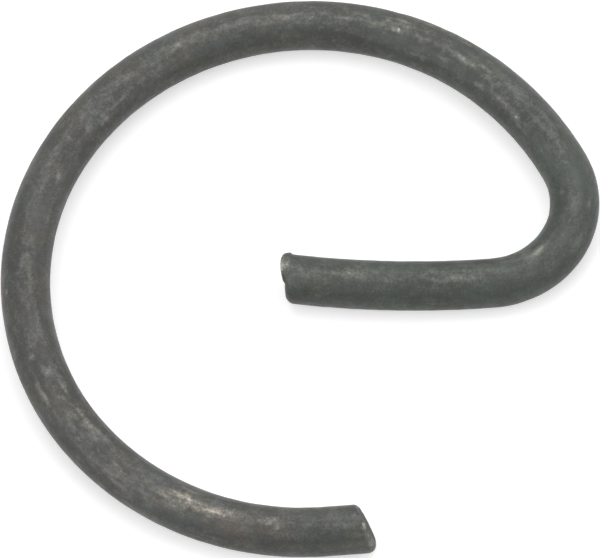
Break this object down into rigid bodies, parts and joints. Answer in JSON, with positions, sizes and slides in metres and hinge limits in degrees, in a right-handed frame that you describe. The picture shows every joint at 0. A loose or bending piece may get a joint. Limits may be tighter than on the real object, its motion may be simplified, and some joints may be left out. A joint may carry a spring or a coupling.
{
  "type": "retaining ring",
  "caption": "Round-wire snap ring for a small piston pin: an open wire circle with a return bend and an inward tang for taking it in and out.",
  "frame": {"origin": "centre of the ring's round part, in the mid-plane of the wire", "axes": "+Z along the ring's axis, square to the plane it is bent in; +X towards the return bend, with the tang pointing back along -X; +Y towards the side that the wire passes on its way from the round part to the bend"},
  "size_m": [0.0146, 0.0148, 0.0012],
  "materials": {
    "spring_steel": "satin"
  },
  "bodies": {
    "root": {"retaining_ring": "spring_steel"}
  },
  "joints": []
}
